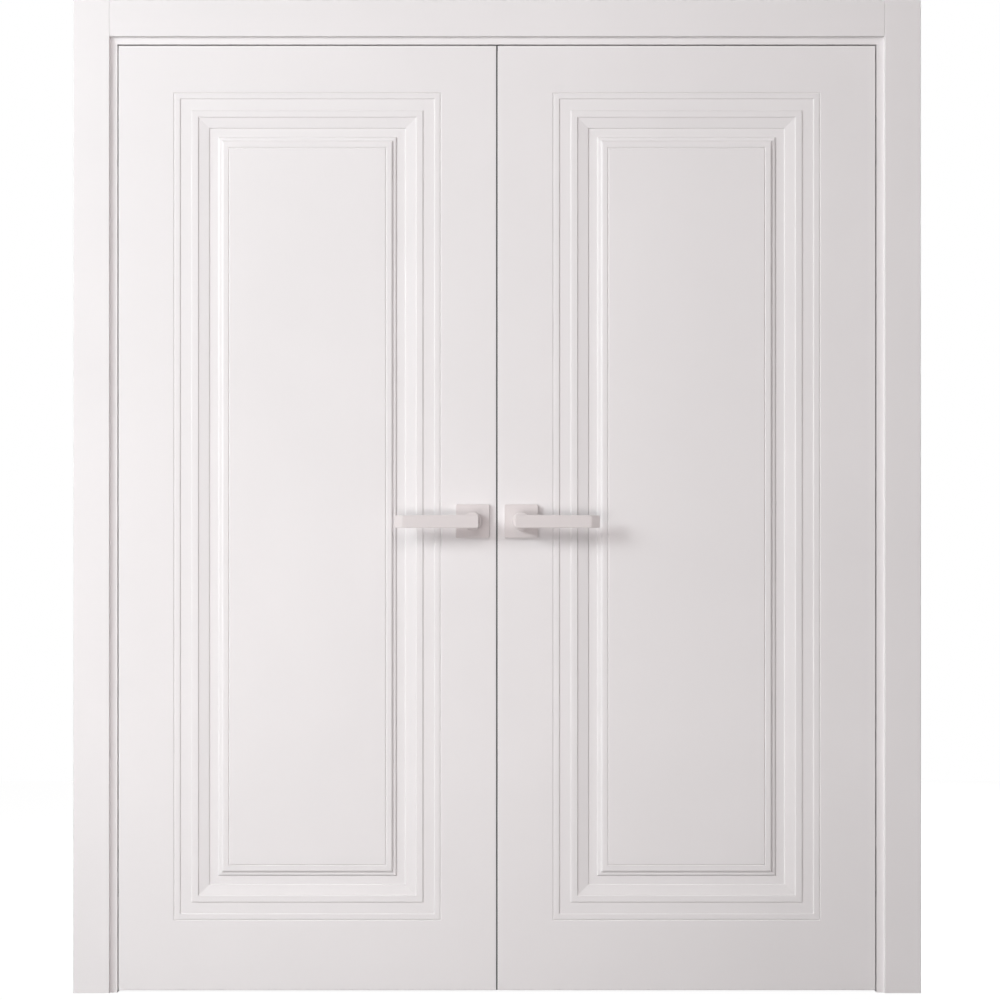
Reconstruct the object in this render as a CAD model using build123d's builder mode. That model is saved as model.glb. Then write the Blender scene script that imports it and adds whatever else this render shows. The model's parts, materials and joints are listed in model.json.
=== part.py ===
from build123d import *
from math import cos, radians, sin, tan
import os

os.makedirs("parts", exist_ok=True)

# Leaves and the gaps around them
leaf_width = 800
leaf_height = 2000
leaf_thickness = 40
leaf_arris = 0.8
floor_gap = 5
side_gap = 2
head_gap = 2.5
meeting_gap = 3
meeting_bevel = 1.5  # degrees off square on the active leaf

# Panel milled into both faces of each leaf, from its outer line inwards
panel_side_margin = 118
panel_head_margin = 100
panel_foot_margin = 149
groove_width = 3.4
groove_depth = 1.6
sunk_inset = 12
sunk_width = 26
sunk_depth = 2
sunk_wall_run = 1.2
channel_inset = 50.5
channel_width = 55
channel_depth = 7
bead_sagitta = 1.1
inner_groove_inset = 116

# Channel section, outer edge to inner edge: share of its width, share of its depth
channel_slope_shares = [(0, 0), (0.03, 0.28), (0.42, 0.7), (0.445, 1), (0.77, 1)]
first_bead_shares = (0.85, 0.56)
ledge_shares = (0.91, 0.54)

# Frame and casings
jamb_thickness = 34
jamb_depth = 75
jamb_reveal = 16
stop_projection = 12
seal_gap = 3
casing_width = 77
casing_thickness = 10
casing_edge_radius = 2
tongue_thickness = 5
tongue_length = 10
tongue_inset = 10
tongue_play = 0.2
fixing_radius = 4
fixing_end_inset = 200
fixing_middle_spacing = 500

# Seals
soft_play = 0.3
seal_stem_width = 3
seal_stem_depth = 5
seal_bulb_width = 8
seal_bulb_radius = 1.2
seal_inset = 3
seal_play = 0.15
meeting_seal_setback = 4
meeting_seal_width = 4
meeting_stem_width = 2.4
meeting_stem_depth = 4

# Concealed hinges: a crescent link slides in a curved slot of each cup
hinge_foot_inset = 250
hinge_head_inset = 200
link_radius = 22
link_width = 5
link_height = 33
link_half_angle = 66
link_play = 0.3
slot_over_angle = 1.5
cup_setback = 5
cup_width = 27
cup_height = 110
cup_plate_thickness = 3
cup_ledge = 1
cup_body_height = 62
cup_depth = 23.5
mortise_play = 0.2

# Countersunk screws
screw_shank_radius = 2
screw_head_radius = 4
screw_head_depth = 2.4
screw_length = 30
short_screw_length = 8
screw_play = 0.15
screw_end_inset = 11

# Handles
backset = 50
handle_height = 998
rose_side = 71
rose_depth = 9
rose_wall = 2
rose_corner_radius = 3
rose_edge_radius = 1
rose_plate_play = 0.3
journal_radius = 13
journal_play = 0.08
neck_radius = 19.5
neck_edge_radius = 1.5
bar_heel = 13
bar_length = 165
bar_root_height = 28
bar_tip_height = 26
bar_thickness = 11
bar_heel_radius = 5
bar_tip_radius = 3
bar_edge_radius = 1.2
tip_length = 18
tip_drop = 7
tip_bend_radius = 16
bar_taper_top = 1.5
handle_projection = 58
spindle_side = 8
spindle_play = 0.05
spindle_bore_radius = 7
socket_depth = 30
grub_radius = 2.5
grub_play = 0.05
grub_sink = 1.5
grub_setback = 8
grub_key_width = 2.5
grub_key_depth = 3
rose_bolt_radius = 2.5
rose_bolt_head_radius = 4.5
rose_bolt_head_depth = 3
rose_bolt_offset = 25
rose_bolt_play = 0.2

# Latch in the active leaf
forend_width = 20
forend_height = 150
forend_thickness = 2.5
case_depth = 68
case_thickness = 15
case_wall = 1.6
case_foot = 36
case_head = 44
latch_rise = 20
latch_width = 10
latch_height = 16
latch_nose_length = 26
latch_nose_radius = 2
latch_throw = 9
latch_play = 0.3
tail_thickness = 2.6
tail_height = 10
tab_thickness = 3
follower_radius = 11
follower_thickness = 11
arm_width = 4
arm_start_angle = 12  # degrees from upright, towards the meeting edge
handle_turn = 35  # degrees, lever pressed fully down
arm_length = 24

# Strike in the passive leaf
strike_width = 20
strike_height = 72
strike_thickness = 2
strike_box_wall = 1.2
strike_mouth_play = 1.5
magnet_thickness = 4
magnet_gap = 1.4

# Flush bolts in the passive leaf, one at the head and one at the foot
bolt_radius = 5
bolt_play = 0.3
bolt_edge_inset = 14
bolt_length = 170
bolt_throw = 12
bolt_sink = 0.5
bolt_plate_width = 18
bolt_plate_height = 150
bolt_plate_thickness = 2.5
bolt_plate_drop = 40
thumb_width = 6
thumb_height = 14
keep_length = 60
keep_width = 20
keep_thickness = 2
keep_hole_depth = 18

# Places that follow from the sizes above: X across, Y towards the rear, Z up from the floor
overrun = leaf_thickness
face_y = -leaf_thickness / 2
rear_y = leaf_thickness / 2
leaf_near_x = meeting_gap / 2
leaf_far_x = leaf_near_x + leaf_width
leaf_foot_z = floor_gap
leaf_head_z = leaf_foot_z + leaf_height
leaf_mid_z = leaf_foot_z + leaf_height / 2
bevel_slope = tan(radians(meeting_bevel))
rebate_x = leaf_far_x + side_gap
rebate_z = leaf_head_z + head_gap
hinge_x = leaf_far_x + side_gap / 2
stop_y = rear_y + seal_gap
jamb_rear_y = face_y + jamb_depth
frame_mid_y = (face_y + jamb_rear_y) / 2
casing_inner_x = rebate_x + jamb_reveal
casing_outer_x = casing_inner_x + casing_width
casing_inner_z = rebate_z + jamb_reveal
casing_outer_z = casing_inner_z + casing_width
tongue_middle = jamb_reveal + tongue_inset + tongue_thickness / 2
fixing_y = (stop_y + jamb_rear_y) / 2
fixing_heights = [
    leaf_foot_z + fixing_end_inset,
    leaf_mid_z - fixing_middle_spacing / 2,
    leaf_mid_z + fixing_middle_spacing / 2,
    leaf_head_z - fixing_end_inset,
]
seal_middle = -(stop_projection - seal_inset - seal_bulb_width / 2)
cup_y = face_y + cup_setback + cup_width / 2
hinge_heights = {
    "lower": leaf_foot_z + hinge_foot_inset,
    "upper": leaf_head_z - hinge_head_inset,
}
cup_screw_reach = cup_height / 2 - screw_end_inset
spindle_x = leaf_near_x + backset

hinge_plane = Plane(origin=(hinge_x, 0, 0), x_dir=(0, 1, 0), z_dir=(1, 0, 0))
frame_mid_plane = Plane(origin=(0, frame_mid_y, 0), x_dir=(1, 0, 0), z_dir=(0, 1, 0))
leaf_mid_plane = Plane(origin=(0, 0, leaf_mid_z), x_dir=(1, 0, 0), z_dir=(0, 0, 1))
right_mitre = Plane(origin=(rebate_x, 0, rebate_z), x_dir=(0, 1, 0), z_dir=(-1, 0, 1))
left_mitre = Plane(origin=(-rebate_x, 0, rebate_z), x_dir=(0, 1, 0), z_dir=(1, 0, 1))


def facing_right(x, y, z):
    """A plane whose normal is +X, with Y across it and Z up it."""
    return Plane(origin=(x, y, z), x_dir=(0, 1, 0), z_dir=(1, 0, 0))


def facing_left(x, y, z):
    """A plane whose normal is -X, with Y across it and Z down it."""
    return Plane(origin=(x, y, z), x_dir=(0, 1, 0), z_dir=(-1, 0, 0))


def facing_front(x, y, z):
    """A plane whose normal is -Y, with X across it and Z up it."""
    return Plane(origin=(x, y, z), x_dir=(1, 0, 0), z_dir=(0, -1, 0))


def facing_down(x, y, z):
    """A plane whose normal is -Z, with X across it."""
    return Plane(origin=(x, y, z), x_dir=(1, 0, 0), z_dir=(0, 0, -1))


def save(name, part):
    """Label a finished piece and write it to its own file."""
    part.label = name
    export_step(part, f"parts/{name}.step")


def mirrored(part, plane):
    """The other hand of a piece."""
    with BuildPart() as other_hand:
        mirror(part, about=plane)
    return other_hand.part


def screws(seats, play=0, length=screw_length):
    """Countersunk screws, one in each seat, or with play the holes that take them."""
    shank = screw_shank_radius + play
    head = screw_head_radius + play
    inwards = (Align.CENTER, Align.CENTER, Align.MAX)
    with BuildPart() as group:
        with Locations(*seats):
            Cylinder(shank, length + play, align=inwards)
            Cone(shank, head, screw_head_depth, align=inwards)
    return group.part


def cup_screw_seats(x, plane_at):
    """The two screw places of each hinge cup on one edge."""
    return [
        plane_at(x, cup_y, height + reach)
        for height in hinge_heights.values()
        for reach in (-cup_screw_reach, cup_screw_reach)
    ]


# Rebated jambs and head, mitred at the corners
def jamb_section(plane):
    """The rebated section: local x runs out from the rebate face, local y to the rear."""
    with BuildSketch(plane) as section:
        with BuildLine():
            Polyline(
                (0, face_y), (jamb_thickness, face_y), (jamb_thickness, jamb_rear_y),
                (-stop_projection, jamb_rear_y), (-stop_projection, stop_y), (0, stop_y), close=True,
            )
        make_face()
        with Locations((tongue_middle, face_y), (tongue_middle, jamb_rear_y)):
            Rectangle(
                tongue_thickness + 2 * tongue_play, 2 * (tongue_length + tongue_play), mode=Mode.SUBTRACT
            )
        with Locations((seal_middle, stop_y)):
            Rectangle(
                seal_stem_width + 2 * seal_play, 2 * (seal_stem_depth + seal_play), mode=Mode.SUBTRACT
            )
    return section.sketch


def cup_form(x, z, play):
    """A hinge cup without its slot, grown by play, set into an edge that faces -X."""
    with BuildPart() as form:
        with BuildSketch(facing_right(x, cup_y, z)):
            SlotOverall(cup_height + 2 * play, cup_width + 2 * play, rotation=90)
        extrude(amount=cup_plate_thickness)
        with BuildSketch(facing_right(x, cup_y, z)):
            Rectangle(cup_width - 2 * cup_ledge + 2 * play, cup_body_height + 2 * play)
        extrude(amount=cup_depth + play)
    return form.part


side_plane = Plane(origin=(rebate_x, 0, 0), x_dir=(1, 0, 0), z_dir=(0, 0, 1))
head_plane = Plane(origin=(0, 0, rebate_z), x_dir=(0, 0, 1), z_dir=(-1, 0, 0))
frame_cup_seats = cup_screw_seats(rebate_x, facing_left)

with BuildPart() as right_jamb:
    extrude(jamb_section(side_plane), amount=rebate_z + jamb_thickness)
    split(bisect_by=right_mitre, keep=Keep.BOTTOM)
    for height in hinge_heights.values():
        add(cup_form(rebate_x, height, mortise_play), mode=Mode.SUBTRACT)
    add(screws(frame_cup_seats, screw_play), mode=Mode.SUBTRACT)
    with BuildSketch(facing_right(rebate_x - stop_projection, fixing_y, 0)):
        with Locations(*[(0, height) for height in fixing_heights]):
            Circle(fixing_radius)
    extrude(amount=stop_projection + jamb_thickness, mode=Mode.SUBTRACT)
save("right_jamb", right_jamb.part)
save("left_jamb", mirrored(right_jamb.part, Plane.YZ))

keep_x = -(leaf_near_x + bolt_edge_inset)
keep_screw_reach = keep_length / 2 - screw_end_inset
keep_plane = facing_down(keep_x, 0, rebate_z)
keep_seats = [facing_down(keep_x + reach, 0, rebate_z) for reach in (-keep_screw_reach, keep_screw_reach)]

with BuildPart() as head_jamb:
    extrude(jamb_section(head_plane), amount=rebate_x + jamb_thickness, both=True)
    split(bisect_by=right_mitre, keep=Keep.TOP)
    split(bisect_by=left_mitre, keep=Keep.TOP)
    with BuildSketch(keep_plane):
        Rectangle(keep_length + 2 * mortise_play, keep_width + 2 * mortise_play)
    extrude(amount=-keep_thickness, mode=Mode.SUBTRACT)
    with BuildSketch(keep_plane):
        Circle(bolt_radius + bolt_play)
    extrude(amount=-keep_hole_depth, mode=Mode.SUBTRACT)
    add(screws(keep_seats, screw_play), mode=Mode.SUBTRACT)
save("head_jamb", head_jamb.part)

with BuildPart() as head_bolt_keep:
    with BuildSketch(keep_plane):
        Rectangle(keep_length, keep_width)
        Circle(bolt_radius + bolt_play, mode=Mode.SUBTRACT)
    extrude(amount=-keep_thickness)
    add(screws(keep_seats, screw_play), mode=Mode.SUBTRACT)
save("head_bolt_keep", head_bolt_keep.part)

with BuildPart() as frame_screws:
    add(screws(frame_cup_seats))
    mirror(screws(frame_cup_seats), about=Plane.YZ)
    add(screws(keep_seats))
save("frame_screws", frame_screws.part)


# Flat casings with a tongue in the frame: the legs run to the top, the head fits between them
def casing_board(plane):
    """The board's section: local x out from its inner edge, local y to the rear."""
    with BuildSketch(plane) as section:
        with Locations((casing_width / 2, -casing_thickness / 2)):
            Rectangle(casing_width, casing_thickness)
        fillet(section.vertices().group_by(Axis.Y)[0], casing_edge_radius)
    return section.sketch


def casing_tongue(plane):
    """The tongue's section, behind the board."""
    with BuildSketch(plane) as section:
        with Locations((tongue_inset + tongue_thickness / 2, tongue_length / 2)):
            Rectangle(tongue_thickness, tongue_length)
    return section.sketch


leg_plane = Plane(origin=(casing_inner_x, face_y, 0), x_dir=(1, 0, 0), z_dir=(0, 0, 1))
lintel_plane = Plane(origin=(0, face_y, casing_inner_z), x_dir=(0, 0, 1), z_dir=(-1, 0, 0))

with BuildPart() as right_front_casing:
    extrude(casing_board(leg_plane), amount=casing_outer_z)
    extrude(casing_tongue(leg_plane), amount=rebate_z)

with BuildPart() as head_front_casing:
    extrude(casing_board(lintel_plane), amount=casing_inner_x, both=True)
    extrude(casing_tongue(lintel_plane), amount=rebate_x, both=True)

left_front_casing = mirrored(right_front_casing.part, Plane.YZ)
front_casings = {
    "left": left_front_casing,
    "right": right_front_casing.part,
    "head": head_front_casing.part,
}
for side, board in front_casings.items():
    save(f"{side}_front_casing", board)
    save(f"{side}_rear_casing", mirrored(board, frame_mid_plane))


# Soft seals pressed into the stops, just clear of the closed leaves
def seal_section(plane):
    """A bulb in front of the stop and a stem in its groove, in the jamb's own directions."""
    bulb_depth = seal_gap - soft_play
    with BuildSketch(plane) as section:
        with Locations((seal_middle, stop_y - bulb_depth / 2)):
            Rectangle(seal_bulb_width, bulb_depth)
        fillet(section.vertices().group_by(Axis.Y)[0], seal_bulb_radius)
        with Locations((seal_middle, stop_y + seal_stem_depth / 2)):
            Rectangle(seal_stem_width, seal_stem_depth)
    return section.sketch


with BuildPart() as right_jamb_seal:
    extrude(seal_section(side_plane), amount=rebate_z + jamb_thickness)
    split(bisect_by=right_mitre, keep=Keep.BOTTOM)
save("right_jamb_seal", right_jamb_seal.part)
save("left_jamb_seal", mirrored(right_jamb_seal.part, Plane.YZ))

with BuildPart() as head_jamb_seal:
    extrude(seal_section(head_plane), amount=rebate_x + jamb_thickness, both=True)
    split(bisect_by=right_mitre, keep=Keep.TOP)
    split(bisect_by=left_mitre, keep=Keep.TOP)
save("head_jamb_seal", head_jamb_seal.part)


# Concealed hinges: the slots and the link are all arcs about the swing axis
def crescent(z, height, start_angle, end_angle, play):
    """A bar of curved section about the right leaf's swing axis."""
    with BuildPart() as bar:
        with BuildSketch(Plane(origin=(hinge_x, face_y, z - height / 2))):
            with BuildLine():
                span = end_angle - start_angle
                outer = CenterArc((0, 0), link_radius + link_width / 2 + play, start_angle, span)
                inner = CenterArc((0, 0), link_radius - link_width / 2 - play, start_angle, span)
                Line(outer @ 0, inner @ 0)
                Line(outer @ 1, inner @ 1)
            make_face()
        extrude(amount=height)
    return bar.part


inward_angle = 90
slot_start_angle = inward_angle - link_half_angle - slot_over_angle
slot_height = link_height + 2 * link_play

for level, height in hinge_heights.items():
    with BuildPart() as right_frame_cup:
        add(cup_form(rebate_x, height, 0))
        add(crescent(height, slot_height, slot_start_angle, inward_angle, link_play), mode=Mode.SUBTRACT)
        add(screws(frame_cup_seats, screw_play), mode=Mode.SUBTRACT)
    right_leaf_cup = mirrored(right_frame_cup.part, hinge_plane)
    link_start_angle = inward_angle - link_half_angle
    link_end_angle = inward_angle + link_half_angle
    right_link = crescent(height, link_height, link_start_angle, link_end_angle, 0)
    save(f"right_{level}_frame_cup", right_frame_cup.part)
    save(f"left_{level}_frame_cup", mirrored(right_frame_cup.part, Plane.YZ))
    save(f"right_{level}_leaf_cup", right_leaf_cup)
    save(f"left_{level}_leaf_cup", mirrored(right_leaf_cup, Plane.YZ))
    save(f"right_{level}_hinge_link", right_link)
    save(f"left_{level}_hinge_link", mirrored(right_link, Plane.YZ))

leaf_cup_seats = cup_screw_seats(leaf_far_x, facing_right)
right_hinge_screws = screws(leaf_cup_seats)
save("right_hinge_screws", right_hinge_screws)
save("left_hinge_screws", mirrored(right_hinge_screws, Plane.YZ))


# Panel cutters: each runs its section round the panel, with mitred corners
panel_near_x = leaf_near_x + panel_side_margin
panel_far_x = leaf_far_x - panel_side_margin
panel_foot_z = leaf_foot_z + panel_foot_margin
panel_head_z = leaf_head_z - panel_head_margin


def milled_frame(inset, section):
    """A cutter along a rectangle set in from the panel's outer line."""
    near, far = panel_near_x + inset, panel_far_x - inset
    foot, head = panel_foot_z + inset, panel_head_z - inset
    middle = (near + far) / 2
    with BuildPart() as cutter:
        with BuildLine() as path:
            Polyline(
                (middle, face_y, foot), (far, face_y, foot), (far, face_y, head),
                (near, face_y, head), (near, face_y, foot), close=True,
            )
        with BuildSketch(Plane(origin=(middle, face_y, foot), x_dir=(0, 0, 1), z_dir=(1, 0, 0))) as profile:
            with BuildLine() as outline:
                section()
            make_face(outline.edges())
        sweep(profile.sketch, path=path.wire(), transition=Transition.RIGHT)
    return cutter.part


def groove_section():
    """A fine V groove about the path."""
    rise = groove_depth
    run = groove_width
    Polyline((-run, rise), (0, -rise), (run, rise), close=True)


def sunk_section():
    """A shallow flat step down and up again, with steep walls."""
    run = sunk_wall_run
    Polyline(
        (-run, sunk_depth), (run, -sunk_depth), (sunk_width - run, -sunk_depth),
        (sunk_width + run, sunk_depth), close=True,
    )


def channel_section():
    """A stepped fall to a flat bed, then two rounded beads back up to the field."""
    def point(shares):
        return (shares[0] * channel_width, -shares[1] * channel_depth)

    slope = [point(shares) for shares in channel_slope_shares]
    bead_top = point(first_bead_shares)
    ledge_end = point(ledge_shares)
    far_edge = (channel_width, 0)
    Polyline(*slope)
    SagittaArc(slope[-1], bead_top, bead_sagitta)
    Line(bead_top, ledge_end)
    SagittaArc(ledge_end, far_edge, bead_sagitta)
    Polyline(far_edge, (channel_width, channel_depth), (0, channel_depth), slope[0])


panel_cutters = [
    milled_frame(0, groove_section),
    milled_frame(sunk_inset, sunk_section),
    milled_frame(channel_inset, channel_section),
    milled_frame(inner_groove_inset, groove_section),
]


# Leaves: a right-hand blank with its panels, hinge mortises and handle bores
def panelled_leaf(bevel):
    """A leaf whose meeting edge falls back by bevel over its thickness."""
    with BuildPart() as leaf:
        with BuildSketch(Plane.XY.offset(leaf_foot_z)):
            with BuildLine():
                Polyline(
                    (leaf_near_x, face_y), (leaf_far_x, face_y), (leaf_far_x, rear_y),
                    (leaf_near_x + bevel, rear_y), close=True,
                )
            make_face()
        extrude(amount=leaf_height)
        chamfer(leaf.faces().filter_by(Axis.Y).edges(), leaf_arris)
        for cutter in panel_cutters:
            add(cutter, mode=Mode.SUBTRACT)
            mirror(cutter, about=Plane.XZ, mode=Mode.SUBTRACT)
        for height in hinge_heights.values():
            mirror(cup_form(rebate_x, height, mortise_play), about=hinge_plane, mode=Mode.SUBTRACT)
        add(screws(leaf_cup_seats, screw_play), mode=Mode.SUBTRACT)
        with BuildSketch(facing_front(spindle_x, face_y, handle_height)):
            Circle(spindle_bore_radius)
            with Locations((rose_bolt_offset, 0), (-rose_bolt_offset, 0)):
                Circle(rose_bolt_radius + rose_bolt_play)
        extrude(amount=-leaf_thickness, mode=Mode.SUBTRACT)
    return leaf.part


# Latch in the active leaf: forend, case, sliding bolt and the follower that draws it back
forend_x = leaf_near_x + bevel_slope * (rear_y + forend_width / 2)
case_x = forend_x + forend_thickness
latch_z = handle_height + latch_rise
forend_z = handle_height + (case_head - case_foot) / 2
forend_screw_reach = forend_height / 2 - screw_end_inset
forend_seats = [
    facing_left(forend_x, 0, forend_z + reach) for reach in (-forend_screw_reach, forend_screw_reach)
]


def case_form(play):
    """The outside of the latch case, grown by play."""
    with BuildPart() as form:
        with BuildSketch(facing_right(case_x, 0, forend_z)):
            Rectangle(case_thickness + 2 * play, case_foot + case_head + 2 * play)
        extrude(amount=case_depth + play)
    return form.part


def forend_form(play):
    """The forend plate, grown by play in its own plane."""
    with BuildPart() as form:
        with BuildSketch(facing_right(forend_x, 0, forend_z)):
            SlotOverall(forend_height + 2 * play, forend_width + 2 * play, rotation=90)
        extrude(amount=forend_thickness)
    return form.part


with BuildPart() as right_leaf:
    add(panelled_leaf(bevel_slope * leaf_thickness))
    with BuildSketch(facing_right(case_x, 0, forend_z)):
        SlotOverall(forend_height + 2 * mortise_play, forend_width + 2 * mortise_play, rotation=90)
    extrude(amount=-overrun, mode=Mode.SUBTRACT)
    add(case_form(mortise_play), mode=Mode.SUBTRACT)
    add(screws(forend_seats, screw_play), mode=Mode.SUBTRACT)
save("right_leaf", right_leaf.part)

with BuildPart() as latch_forend:
    add(forend_form(0))
    with BuildSketch(facing_right(forend_x, 0, latch_z)):
        Rectangle(latch_width + 2 * latch_play, latch_height + 2 * latch_play)
    extrude(amount=forend_thickness, mode=Mode.SUBTRACT)
    add(screws(forend_seats, screw_play), mode=Mode.SUBTRACT)
save("latch_forend", latch_forend.part)
save("forend_screws", screws(forend_seats))

with BuildPart() as latch_case:
    add(case_form(0))
    with BuildSketch(facing_right(case_x, 0, forend_z)):
        Rectangle(case_thickness - 2 * case_wall, case_foot + case_head - 2 * case_wall)
    extrude(amount=case_depth - case_wall, mode=Mode.SUBTRACT)
    with BuildSketch(facing_front(spindle_x, face_y, handle_height)):
        Circle(spindle_bore_radius)
        with Locations((rose_bolt_offset, 0), (-rose_bolt_offset, 0)):
            Circle(rose_bolt_radius + rose_bolt_play)
    extrude(amount=-leaf_thickness, mode=Mode.SUBTRACT)
save("latch_case", latch_case.part)

follower_y = follower_thickness / 2
tail_y = follower_y - tail_thickness
arm_end_angle = radians(handle_turn - arm_start_angle)
arm_end_reach = arm_length * sin(arm_end_angle) + arm_width / 2 * cos(arm_end_angle)
latch_tip_x = forend_x + latch_play
tail_x = latch_tip_x + latch_nose_length
tab_x = spindle_x + arm_end_reach + latch_play

with BuildPart() as latch_follower:
    with BuildSketch(facing_front(spindle_x, follower_y, handle_height)):
        Circle(follower_radius)
    extrude(amount=follower_thickness)
    with BuildSketch(facing_front(spindle_x, tail_y - latch_play, handle_height)):
        Rectangle(arm_width, arm_length, rotation=arm_start_angle, align=(Align.CENTER, Align.MIN))
    extrude(amount=follower_y + tail_y - latch_play)
    with BuildSketch(facing_front(spindle_x, follower_y, handle_height)):
        Rectangle(spindle_side + 2 * spindle_play, spindle_side + 2 * spindle_play)
    extrude(amount=follower_thickness, mode=Mode.SUBTRACT)
save("latch_follower", latch_follower.part)

with BuildPart() as latch_bolt:
    with BuildSketch(facing_right(latch_tip_x, 0, latch_z)):
        Rectangle(latch_width, latch_height)
    extrude(amount=latch_nose_length)
    fillet(latch_bolt.faces().sort_by(Axis.X)[0].edges(), latch_nose_radius)
    with BuildSketch(facing_right(tail_x, tail_y + tail_thickness / 2, latch_z)):
        Rectangle(tail_thickness, tail_height)
    extrude(amount=tab_x - tail_x)
    with BuildSketch(facing_right(tab_x, 0, latch_z)):
        Rectangle(follower_thickness, tail_height / 2, align=(Align.CENTER, Align.MIN))
    extrude(amount=tab_thickness)
save("latch_bolt", latch_bolt.part)


# Strike, meeting seal and flush bolts in the passive leaf
def edge_plate(z, height, width, thickness, play):
    """A round-ended plate let into the passive leaf's meeting edge, grown by play."""
    with BuildPart() as plate:
        with BuildSketch(facing_left(-leaf_near_x, 0, z)):
            SlotOverall(height + 2 * play, width + 2 * play, rotation=90)
        extrude(amount=thickness)
    return plate.part


def edge_block(depth_from, depth_to, z, width, height):
    """A square-cornered block between two depths behind the passive leaf's meeting edge."""
    with BuildPart() as block:
        with BuildSketch(facing_left(-leaf_near_x - depth_from, 0, z)):
            Rectangle(width, height)
        extrude(amount=depth_to - depth_from)
    return block.part


def edge_seats(z, height):
    """The two screw places of a plate on the passive leaf's meeting edge."""
    reach = height / 2 - screw_end_inset
    return [facing_right(-leaf_near_x, 0, z + offset) for offset in (-reach, reach)]


mouth_width = latch_width + 2 * strike_mouth_play
mouth_height = latch_height + 2 * strike_mouth_play
box_width = mouth_width + 2 * strike_box_wall
box_height = mouth_height + 2 * strike_box_wall
latch_reach = latch_throw - latch_tip_x - leaf_near_x
magnet_start = latch_reach + magnet_gap
magnet_end = magnet_start + magnet_thickness
box_end = magnet_end + strike_box_wall
strike_seats = edge_seats(latch_z, strike_height)

upper_plate_z = leaf_head_z - bolt_plate_drop - bolt_plate_height / 2
bolt_head_z = leaf_head_z - bolt_sink
thumb_z = upper_plate_z - bolt_throw / 2
thumb_slot_height = thumb_height + bolt_throw + 2 * bolt_play
thumb_slot_width = thumb_width + 2 * bolt_play
bolt_seats = edge_seats(upper_plate_z, bolt_plate_height)
seal_lip_middle_y = face_y + meeting_seal_setback + meeting_seal_width / 2

# Room for the upper flush bolt: plate recess, thumb pocket, bolt bore and screw holes
with BuildPart() as bolt_room:
    add(edge_plate(upper_plate_z, bolt_plate_height, bolt_plate_width, bolt_plate_thickness, mortise_play))
    add(edge_block(0, bolt_edge_inset, upper_plate_z, thumb_slot_width, thumb_slot_height))
    with BuildSketch(facing_down(keep_x, 0, leaf_head_z)):
        Circle(bolt_radius + bolt_play)
    extrude(amount=bolt_sink + bolt_length + bolt_play)
    add(screws(bolt_seats, screw_play, short_screw_length))

with BuildPart() as left_leaf:
    mirror(panelled_leaf(0), about=Plane.YZ)
    add(bolt_room.part, mode=Mode.SUBTRACT)
    mirror(bolt_room.part, about=leaf_mid_plane, mode=Mode.SUBTRACT)
    add(edge_plate(latch_z, strike_height, strike_width, strike_thickness, mortise_play), mode=Mode.SUBTRACT)
    add(edge_block(0, box_end, latch_z, box_width, box_height), mode=Mode.SUBTRACT)
    add(screws(strike_seats, screw_play), mode=Mode.SUBTRACT)
    with BuildSketch(Plane.XY.offset(leaf_foot_z)):
        with Locations((-leaf_near_x, seal_lip_middle_y)):
            Rectangle(
                2 * (meeting_stem_depth + seal_play), meeting_stem_width + 2 * seal_play
            )
    extrude(amount=leaf_height, mode=Mode.SUBTRACT)
save("left_leaf", left_leaf.part)

with BuildPart() as strike_plate:
    add(edge_plate(latch_z, strike_height, strike_width, strike_thickness, 0))
    add(edge_block(0, strike_thickness, latch_z, mouth_width, mouth_height), mode=Mode.SUBTRACT)
    add(screws(strike_seats, screw_play), mode=Mode.SUBTRACT)
save("strike_plate", strike_plate.part)

with BuildPart() as strike_box:
    add(edge_block(strike_thickness, box_end, latch_z, box_width, box_height))
    add(
        edge_block(strike_thickness, magnet_end, latch_z, mouth_width, mouth_height),
        mode=Mode.SUBTRACT,
    )
save("strike_box", strike_box.part)

strike_magnet = edge_block(magnet_start, magnet_end, latch_z, mouth_width, mouth_height)
save("strike_magnet", strike_magnet)

with BuildPart() as edge_screws:
    add(screws(strike_seats))
    add(screws(bolt_seats, length=short_screw_length))
    mirror(screws(bolt_seats, length=short_screw_length), about=leaf_mid_plane)
save("edge_screws", edge_screws.part)

with BuildPart() as meeting_seal:
    with BuildSketch(Plane.XY.offset(leaf_foot_z)):
        with Locations((-leaf_near_x, seal_lip_middle_y)):
            Rectangle(meeting_gap - soft_play, meeting_seal_width, align=(Align.MIN, Align.CENTER))
            Rectangle(meeting_stem_depth, meeting_stem_width, align=(Align.MAX, Align.CENTER))
    extrude(amount=leaf_height)
save("meeting_seal", meeting_seal.part)

with BuildPart() as upper_bolt_plate:
    add(edge_plate(upper_plate_z, bolt_plate_height, bolt_plate_width, bolt_plate_thickness, 0))
    add(
        edge_block(0, bolt_plate_thickness, upper_plate_z, thumb_slot_width, thumb_slot_height),
        mode=Mode.SUBTRACT,
    )
    add(screws(bolt_seats, screw_play, short_screw_length), mode=Mode.SUBTRACT)
save("upper_bolt_plate", upper_bolt_plate.part)
save("lower_bolt_plate", mirrored(upper_bolt_plate.part, leaf_mid_plane))

with BuildPart() as upper_flush_bolt:
    with BuildSketch(facing_down(keep_x, 0, bolt_head_z)):
        Circle(bolt_radius)
    extrude(amount=bolt_length)
    chamfer(upper_flush_bolt.faces().sort_by(Axis.Z)[-1].edges(), bolt_sink)
    add(edge_block(bolt_play, bolt_edge_inset, thumb_z, thumb_width, thumb_height))
save("upper_flush_bolt", upper_flush_bolt.part)
save("lower_flush_bolt", mirrored(upper_flush_bolt.part, leaf_mid_plane))


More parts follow.
